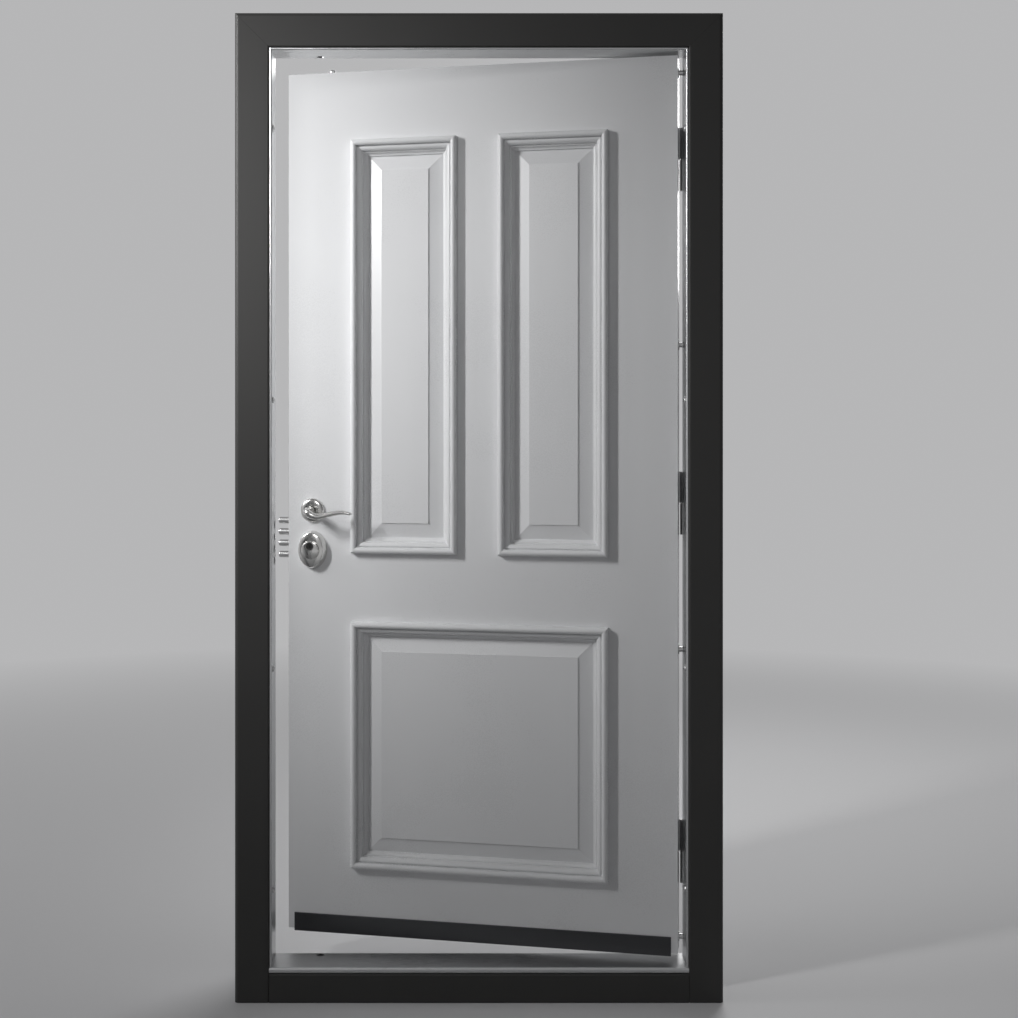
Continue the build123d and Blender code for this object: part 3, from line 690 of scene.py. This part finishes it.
# %% Floor
free_hands()
bpy.ops.mesh.primitive_circle_add(vertices=96, radius=60, fill_type="NGON", location=(0, 0, 0))
floor = bpy.context.object
floor.name = "studio_floor"
floor_gap = 0.0005
floor.location.z = solid_box[0].z - floor_gap
floor_finish, shader, place = start_finish("studio_floor", (0.72, 0.72, 0.73), 0.6)
mottle = grain(place, even, 0.8, 2)
feed(shader, "Base Color", mottle.tint((0.71, 0.71, 0.72), (0.73, 0.73, 0.74)))
tree = floor_finish.node_tree
away = place.add("ShaderNodeVectorMath", {"operation": "LENGTH"}, {0: place}, "Value")
near_door, fade_width = 0.8, 4.5
distant = (1 - away.below(near_door, fade_width)) * shown_rays(tree)
glow = place.add("ShaderNodeEmission", {}, {"Color": (*backdrop, 1)})
near = Wire(tree, shader.outputs["BSDF"])
fade = place.add("ShaderNodeMixShader", {}, {0: distant, 1: near, 2: glow})
tree.links.new(fade.socket, tree.nodes["Material Output"].inputs["Surface"])
floor.data.materials.append(floor_finish)
print("floor at", round(floor.location.z, 4))

# %% [markdown]
# Three of the lamps are soft boxes: a weak one far left that catches the leaf's edge, one in front that
# lifts the upper left of the leaf, and one in the room for the rear face. A small spread works like the
# grid that a photographer hangs in front of a box to keep its light in one place.


# %% Lamps
def soft_lamp(name, place, target, size, watts, spread=180):
    """A soft lamp, wide by tall, that looks at a point. A small spread is a grid in front of it."""
    lamp = bpy.data.lights.new(name, "AREA")
    lamp.shape = "RECTANGLE"
    lamp.size, lamp.size_y = size
    lamp.energy = watts
    lamp.spread = radians(spread)
    holder = bpy.data.objects.new(name, lamp)
    scene.collection.objects.link(holder)
    holder.location = place
    holder.rotation_euler = (Vector(target) - Vector(place)).to_track_quat("-Z", "Y").to_euler()
    holder.visible_camera = False
    return holder


soft_lamp("key", (-2.7, -0.15, 2.5), (0, 0.1, 1.7), (0.6, 1.3), 13)
soft_lamp("front", (-0.9, -2.5, 2.3), (-0.85, 0.2, 1.65), (0.6, 0.8), 1.3, 56)
soft_lamp("room_side", (1.2, 2.8, 2.6), (0, 0.1, 1.1), (1.6, 1.6), 45)
print("lamps:", ", ".join(lamp.name for lamp in bpy.data.lights))

# %% [markdown]
# The raking lamp brings out the mouldings. A jamb beside the leaf would throw a band of shadow on the
# paint, and a photographer would light the leaf apart from its frame. Here a lamp can have its own list of
# pieces that shade it, so this one lists the leaf and its fittings, and the frame stays out.

# %% Raking lamp
raking = soft_lamp("raking", (-2.3, -1.2, 2.5), (-0.6, 0.15, 1.6), (0.25, 0.8), 6.4, 56)
shading = bpy.data.collections.new("leaf_shadows")
painted = [nodes[name] for name in ("leaf_slab", "leaf_rear_skin", *leaf_white_nodes)]
for piece in painted + [front_lever, rear_lever, front_rose, rear_rose, front_guard, rear_guard]:
    shading.objects.link(piece)
raking.light_linking.blocker_collection = shading

# %% [markdown]
# ## Camera
# The picture was taken square to the wall with a level camera, so uprights stay upright. The frame sits
# left of the middle and the eye is above the middle of the door, which a small shift of the lens gives.

# %% Camera
image = 1018
picture_width = 2.2097  # metres that the picture spans at the casing's front
sensor = 36
pixels_per_metre = image / picture_width
eye_distance = 3.06
focal = pixels_per_metre * eye_distance
across, horizon = 479.0, 436.0
foot_row = 1003.0
eye_height = (foot_row - horizon) / pixels_per_metre
camera = bpy.data.cameras.new("camera")
camera.sensor_width = sensor
camera.lens = focal / image * sensor
camera.shift_x = (image / 2 - across) / image
camera.shift_y = -(image / 2 - horizon) / image
eye = bpy.data.objects.new("camera", camera)
scene.collection.objects.link(eye)
casing_front = solid_box[0].y
eye.location = (0, casing_front - eye_distance, eye_height)
eye.rotation_euler = (radians(90), 0, 0)
scene.camera = eye
print("lens", round(camera.lens, 1), "shift", round(camera.shift_x, 3), round(camera.shift_y, 3))
